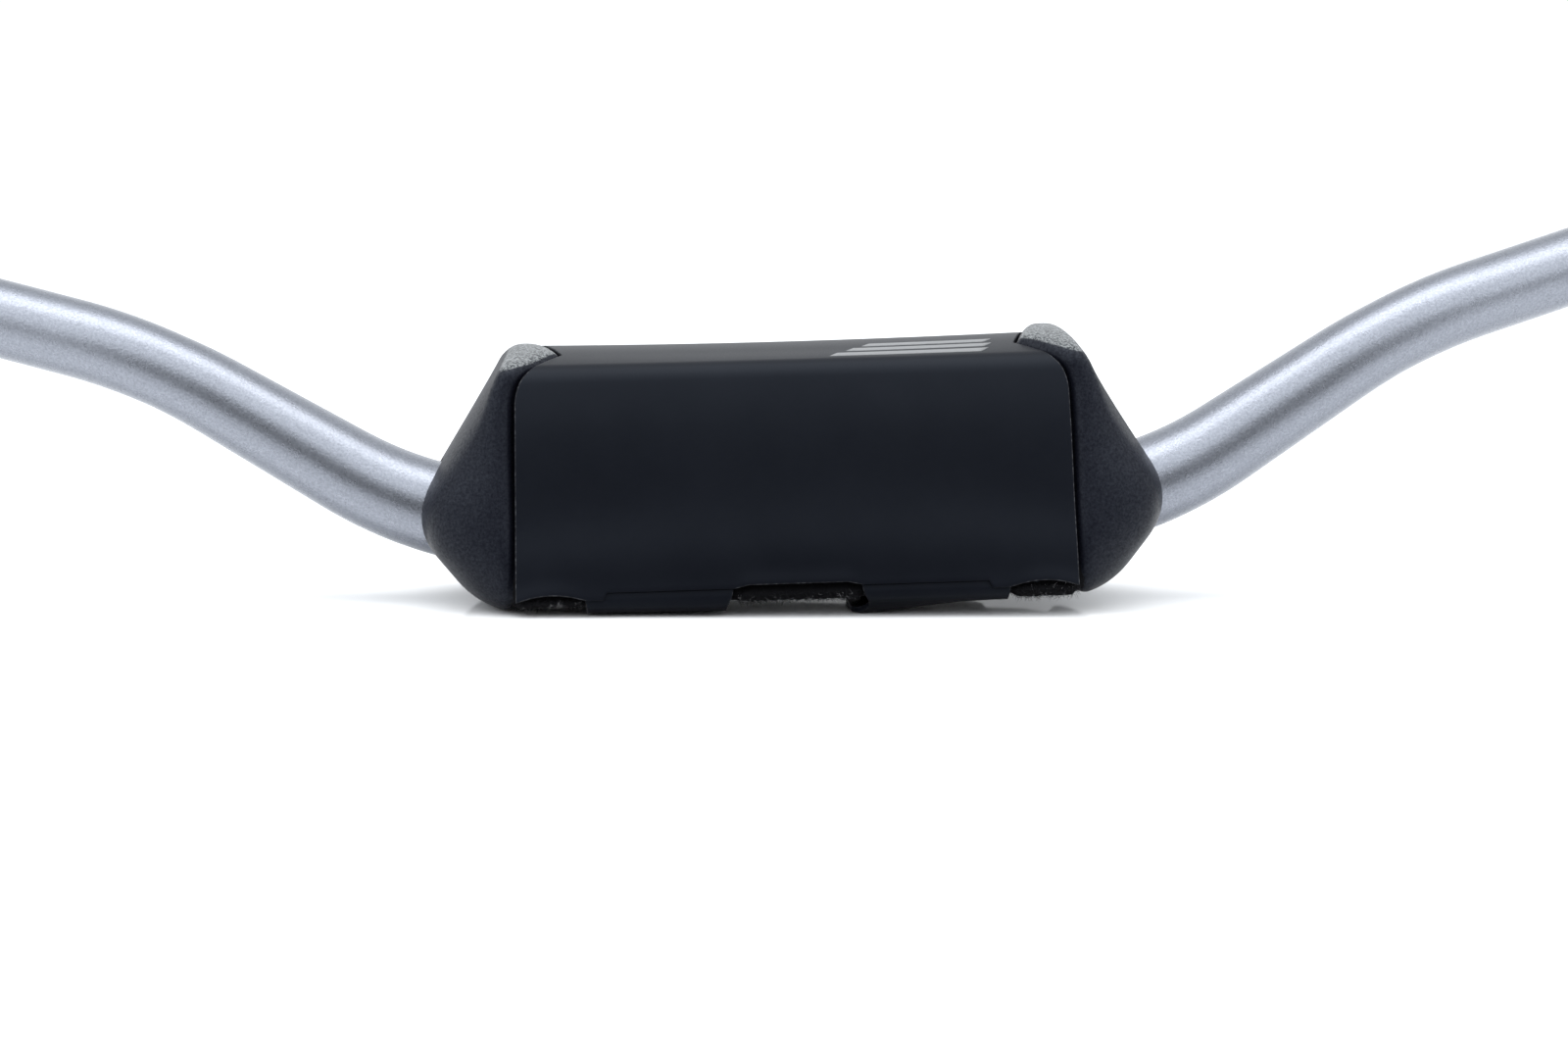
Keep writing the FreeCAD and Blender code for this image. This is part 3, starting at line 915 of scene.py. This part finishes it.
# ---------------- hook-and-loop tape
TAPE_X = (-80.0, 80.9)
TAPE_TOP_Z = -11.5
TAPE_UNDER = 9.0  # it goes back under the foam by this much
TAPE_THICKNESS = 1.1
TAPE_BULGE = 1.75
FIBRE_SPANS = ((-79.5, -TAB_OUTER - 0.5), (-TAB_INNER + 0.5, TAB_INNER - 0.5), (TAB_OUTER + 0.5, 80.5))
FIBRE_TOP_Z = -18.0
FIBRE_PIECES = 9
FIBRE_SIDES = 4
STRIP_CORNER = 2.5
STRIP_DENSITY = 1.5  # points per millimetre


def bulge(x):
    """1 in the three cut-outs, where the tape stands out, and 0 under the tabs."""
    x = np.abs(x)
    centre = 1.0 - smooth_step(x, TAB_INNER - 3.0, TAB_INNER + 1.0)
    outer = smooth_step(x, TAB_OUTER - 1.0, TAB_OUTER + 3.0) * (1.0 - smooth_step(x, 77.0, 80.5))
    return centre + outer


def tape_surface(x, run, under=0.0):
    """Outer surface of the front tape, set under by a little for its inside."""
    panel_edge = run_at_height(cover_bottom_edge(x))
    tucked = smooth_step(run, SIDE_END, BOTTOM_START) * (1.0 - smooth_step(x, TAB_INNER, TAB_OUTER))
    stands_out = smooth_step(run, panel_edge + 0.4, panel_edge + 2.6) * (1.0 - 0.8 * tucked)
    depth = FOAM_RECESS - TAPE_BULGE * bulge(x) * stands_out
    depth = depth + under - 0.22 * wave(x * 1.9, run * 2.3, 5)
    return section_point(-run, depth)


def build_front_tape():
    """Tape with ragged pile, from behind the front panel's edge to under the foam."""
    x_grid, run_grid = np.meshgrid(np.linspace(*TAPE_X, 420),
                                   np.linspace(run_at_height(TAPE_TOP_Z), BOTTOM_START + TAPE_UNDER, 44))
    ragged_x = x_grid + 0.35 * wave(x_grid * 3.1, run_grid * 2.0, 8)
    outer, inner = (np.stack([ragged_x, *tape_surface(x_grid, run_grid, under)[:2]], axis=2)
                    for under in (0.0, TAPE_THICKNESS))
    tape = sheet_object("front_tape", outer, inner, pile, 0.0)
    register(tape, "handlebar", "tape", "tape_strip_front")


def fibre_points(chooser, x, run, length, radius, curl):
    """Rings of points along one curled fibre that lies at a place on the front tape."""
    y, z, normal_y, normal_z = (float(value) for value in tape_surface(np.array(x), np.array(run)))
    out = np.array([0.0, normal_y, normal_z])
    lean = np.array([chooser.uniform(-1.0, 1.0), chooser.uniform(-0.5, 0.5), chooser.uniform(-1.0, 1.0)])
    way = 0.35 * out * chooser.random() + lean
    way /= np.linalg.norm(way)
    side_a = np.cross(way, out + 0.1 * lean)
    side_a /= np.linalg.norm(side_a)
    side_b = np.cross(way, side_a)
    reach = length * chooser.uniform(0.4, 1.4)
    turns = chooser.uniform(2.0, 6.0)
    phase = chooser.uniform(0.0, math.tau)
    start = np.array([x, y, z]) + out * chooser.uniform(-0.1, 0.25)
    points = []
    for piece in range(FIBRE_PIECES + 1):
        share = piece / FIBRE_PIECES
        swing = curl * reach * math.sin(share * turns + phase)
        rise = 0.5 * curl * reach * math.cos(share * turns * 1.3 + phase)
        centre = start + way * reach * (share - 0.5) + side_a * swing + out * rise
        thin = radius * (1.0 - 0.6 * abs(2.0 * share - 1.0))
        for corner in range(FIBRE_SIDES):
            angle = math.tau * corner / FIBRE_SIDES
            points.append(centre + thin * (math.cos(angle) * side_a + math.sin(angle) * side_b))
    return points


def fibre_faces():
    """Faces of one fibre, its two ends among them, numbered from its first point."""
    sides = ring_faces(FIBRE_PIECES + 1, FIBRE_SIDES, False)[:, [0, 3, 2, 1]]
    start = np.arange(FIBRE_SIDES)
    return np.concatenate([sides, [start, start[::-1] + FIBRE_PIECES * FIBRE_SIDES]])


def build_fibres(name, material, seed, count, length, radius, curl, clumps=0):
    """Short curled fibres tangled on the front tape where the cut-outs leave it open.

    With clumps they gather round that many places instead of lying all over."""
    chooser = random.Random(seed)
    low, high = run_at_height(FIBRE_TOP_Z), BOTTOM_START + 1.5
    knots = []
    for number in range(clumps):
        knots.append((chooser.uniform(*FIBRE_SPANS[chooser.randrange(3)]), chooser.uniform(low, high)))
    points = []
    for number in range(count):
        if knots:
            middle_x, middle_run = knots[chooser.randrange(clumps)]
            x = middle_x + chooser.gauss(0.0, 0.4)
            run = min(high, max(low, middle_run + chooser.gauss(0.0, 0.3)))
        else:
            x = chooser.uniform(*FIBRE_SPANS[chooser.choice((0, 1, 1, 2))])
            run = chooser.uniform(low, high)
        points += fibre_points(chooser, x, run, length, radius, curl)
    first = np.arange(count) * (FIBRE_PIECES + 1) * FIBRE_SIDES
    faces = (fibre_faces() + first[:, None, None]).reshape(-1, FIBRE_SIDES)
    strands = make_object(name, points, faces, material)
    register(strands, "handlebar", "tape")


def build_strip(name, seed, x_span, y_span, top, thickness, body, node):
    """Tape patch lying flat under the pad, with a rough pile on both faces."""
    x, y = (np.linspace(*span, int((span[1] - span[0]) * STRIP_DENSITY)) for span in (x_span, y_span))
    x_grid, y_grid = np.meshgrid(x, y)
    nap = 0.10 * wave(x_grid * 2.7, y_grid * 3.1, seed)
    middle_x, middle_y = sum(x_span) / 2.0, sum(y_span) / 2.0
    half_x, half_y = (x_span[1] - x_span[0]) / 2.0, (y_span[1] - y_span[0]) / 2.0
    over = (np.abs(y_grid - middle_y) - (half_y - STRIP_CORNER)) / STRIP_CORNER
    x_grid = middle_x + (x_grid - middle_x) * (1.0 - STRIP_CORNER * rounded(over) / half_x)
    outer = np.stack([x_grid, y_grid, top - thickness - nap], axis=2)
    inner = np.stack([x_grid, y_grid, top + nap], axis=2)
    register(sheet_object(name, outer, inner, pile, 0.0), body, "tape", node)


# ---------------- printed mark
MARK_LENGTHS = (43.0, 39.5, 35.0)
MARK_WIDTH = 3.4
MARK_SLANT = 2.5
MARK_START = (11.0, -22.6)  # (x, y) of the front bar's left end
MARK_STEP = (5.0, 5.2)  # from one bar to the next


def build_mark():
    """Generic mark on the cover's top: three slanted bars, longest in front."""
    points = []
    faces = []
    share_x, share_y = np.meshgrid(np.linspace(0.0, 1.0, 30), np.linspace(0.0, 1.0, 6))
    for row, length in enumerate(MARK_LENGTHS):
        x = MARK_START[0] + row * MARK_STEP[0] + length * share_x + MARK_SLANT * share_y
        u = PAD_MIDDLE - (MARK_START[1] + row * MARK_STEP[1] + MARK_WIDTH * share_y)
        layers = []
        for depth in (COVER_OUTSIDE - 0.15, COVER_OUTSIDE + 0.3):
            radius = CROWN_RADIUS - depth - cover_sag(x, u)
            angle = np.arcsin(u / radius)
            layers.append(np.stack([x, PAD_MIDDLE - radius * np.sin(angle),
                                    CROWN_CENTRE[1] + radius * np.cos(angle)], axis=2))
        body_points, body_faces = thick_sheet(*layers)
        faces.append(face_outward(body_points, body_faces) + sum(len(p) for p in points))
        points.append(body_points)
    mark = make_object("printed_mark", np.concatenate(points), np.concatenate(faces), ink)
    register(mark, "handlebar", "print", "top_mark")


build_tube()
build_foam()
build_cover()
build_tab("left_tab", -1.0, "cover_tab_left")
build_tab("right_tab", 1.0, "cover_tab_right")
build_front_tape()
build_fibres("tape_fibres", fuzz, 11, count=1100, length=2.6, radius=0.045, curl=0.25)
build_fibres("tape_lint_strands", lint, 12, count=80, length=2.4, radius=0.025, curl=0.4)
build_fibres("tape_lint_clumps", lint, 13, count=44, length=0.9, radius=0.035, curl=0.5, clumps=8)
build_strip("rear_tape", 21, (-62.0, 62.0), (13.0, 31.0), -18.2, 0.9, "handlebar", "tape_strip_rear")
build_strip("left_hooks", 22, (-57.0, -21.0), (14.0, 30.0), -19.2, 1.0, "left_tab", "hook_patch_left")
build_strip("right_hooks", 23, (21.0, 57.0), (14.0, 30.0), -19.2, 1.0, "right_tab", "hook_patch_right")
build_mark()

# ---------------- floor, light and camera
FLOOR_Z = -24.9
FLOOR_TILT = math.radians(1.80)  # the floor falls away under the bar's right side
FLOOR_POLISH = 0.15
FLOOR_REACH = 6.0
DARK_SPOTS = ((-0.62, 0.40, 0.60), (-0.17, 0.12, 0.18))  # (y, dark within, pale beyond), in metres
# Brightness of the room at (height above the horizon, brightness) stops, and in its dark opening.
FRONT_LIGHT = ((0.0, 0.5), (0.30, 2.0), (0.60, 2.1), (0.80, 2.1), (0.97, 2.1))
REAR_LIGHT = ((0.0, 0.0), (0.055, 0.1), (0.095, 1.33), (0.35, 1.45), (0.60, 1.20), (0.85, 1.0), (1.0, 1.9))
OPENING_LIGHT = 0.32
BACKDROP = 1.1  # what the camera itself sees of it
CAMERA_AIM = (-1.5, 0.0, -2.1)
CAMERA_DISTANCE = 1000.0
CAMERA_LEFT = math.radians(3.7)
CAMERA_ABOVE = math.radians(7.1)
CAMERA_ROLL = math.radians(1.35)  # the bar lies a little lower on its left side
CAMERA_LENS = 79.2
CAMERA_SENSOR = 36.0


def distance_from(tree, y):
    """Distance on the floor from a point on its middle line, in metres."""
    node = tree.nodes.new("ShaderNodeVectorMath")
    node.operation = "DISTANCE"
    feed(tree, node, {0: tree.nodes.new("ShaderNodeTexCoord").outputs["Object"], 1: (0.0, y, 0.0)})
    return node.outputs["Value"]


def build_floor():
    """Pale floor. All but the camera see two dark round spots on it in front of the bar: the tube
    mirrors them as its dark band."""
    material, tree, shader = new_material("floor_paint")
    spots = [spread(tree, distance_from(tree, y), dark, pale) for y, dark, pale in DARK_SPOTS]
    seen = tree.nodes.new("ShaderNodeLightPath").outputs["Is Camera Ray"]
    bright = calculated(tree, "MAXIMUM", seen, calculated(tree, "MINIMUM", *spots))
    pale = two_tone(tree, noise(tree, 2.0, 3.0), (0.88, 0.885, 0.89), (0.90, 0.905, 0.91))
    feed(tree, shader, {
        "Base Color": mixed(tree, bright, (0.03, 0.03, 0.033, 1.0), pale),
        "Roughness": 0.9,
        "Specular IOR Level": 0.0,
    })
    gloss = tree.nodes.new("ShaderNodeBsdfGlossy")
    feed(tree, gloss, {"Roughness": 0.06, "Color": (1.0, 1.0, 1.0, 1.0)})
    polish = tree.nodes.new("ShaderNodeMixShader")
    feed(tree, polish, {"Fac": FLOOR_POLISH, 1: shader.outputs["BSDF"], 2: gloss.outputs["BSDF"]})
    feed(tree, tree.nodes["Material Output"], {"Surface": polish.outputs["Shader"]})
    mesh = bpy.data.meshes.new("floor")
    corners = [(x * FLOOR_REACH, y * FLOOR_REACH, 0) for x, y in ((-1, -1), (1, -1), (1, 1), (-1, 1))]
    mesh.from_pydata(corners, [], [(0, 1, 2, 3)])
    mesh.materials.append(material)
    floor = add_object("floor", mesh)
    floor.matrix_world = Matrix.Translation((0, 0, FLOOR_Z * MM)) @ Matrix.Rotation(FLOOR_TILT, 4, "Y")


def area_light(name, place, target, width, height, power):
    """Rectangular light at a place in metres, aimed at a target."""
    light = bpy.data.lights.new(name, "AREA")
    light.shape = "RECTANGLE"
    light.size = width
    light.size_y = height
    light.energy = power
    obj = add_object(name, light)
    obj.location = place
    aim = Vector(target) - Vector(place)
    obj.rotation_euler = aim.to_track_quat("-Z", "Y").to_euler()


def brightness_by_height(tree, height, stops):
    """Brightness of the room at a height above the horizon, 0 to 1, through (height, brightness) stops."""
    ramp = tree.nodes.new("ShaderNodeValToRGB")
    steps = ramp.color_ramp.elements
    while len(steps) < len(stops):
        steps.new(0.5)
    strongest = max(brightness for place, brightness in stops)
    for step, (place, brightness) in zip(steps, stops):
        step.position = place
        step.color = (*[brightness / strongest] * 3, 1.0)
    feed(tree, ramp, {"Fac": height})
    return calculated(tree, "MULTIPLY", ramp.outputs["Color"], strongest)


def build_world():
    """Soft white studio all round, with a dark opening straight ahead, where the camera stands."""
    world = bpy.data.worlds.new("studio")
    world.use_nodes = True
    tree = world.node_tree
    way = tree.nodes.new("ShaderNodeTexCoord").outputs["Generated"]
    height, back = one_axis(tree, way, "Z"), one_axis(tree, way, "Y")
    front, rear = (brightness_by_height(tree, height, stops) for stops in (FRONT_LIGHT, REAR_LIGHT))
    room = mixed(tree, spread(tree, back, -0.5, 0.1), front, rear, "FLOAT")
    room = mixed(tree, spread(tree, back, -0.975, -0.90), OPENING_LIGHT, room, "FLOAT")
    seen = tree.nodes.new("ShaderNodeLightPath").outputs["Is Camera Ray"]
    shown = mixed(tree, seen, room, BACKDROP, "FLOAT")
    feed(tree, tree.nodes["Background"], {"Color": (0.95, 0.975, 1.0, 1.0), "Strength": shown})
    bpy.context.scene.world = world


def build_camera():
    """Camera a metre in front, a little to the left and above, and rolled a little."""
    forward = Vector((math.sin(CAMERA_LEFT) * math.cos(CAMERA_ABOVE),
                      math.cos(CAMERA_LEFT) * math.cos(CAMERA_ABOVE), -math.sin(CAMERA_ABOVE)))
    place = Vector(CAMERA_AIM) - forward * CAMERA_DISTANCE
    right = forward.cross(Vector((0, 0, 1))).normalized()
    up = right.cross(forward)
    rolled_right = math.cos(CAMERA_ROLL) * right - math.sin(CAMERA_ROLL) * up
    rolled_up = math.sin(CAMERA_ROLL) * right + math.cos(CAMERA_ROLL) * up
    matrix = Matrix((rolled_right, rolled_up, -forward)).transposed().to_4x4()
    matrix.translation = place * MM
    lens = bpy.data.cameras.new("camera")
    lens.sensor_width = CAMERA_SENSOR
    lens.lens = CAMERA_LENS
    lens.clip_start = 0.01
    camera = add_object("camera", lens)
    camera.matrix_world = matrix
    bpy.context.scene.camera = camera


build_floor()
build_world()
area_light("overhead", (0.0, -0.30, 1.5), (0, 0, 0), 2.4, 0.85, 14.5)
build_camera()
bpy.context.scene.view_settings.view_transform = "Standard"

bpy.context.view_layer.update()
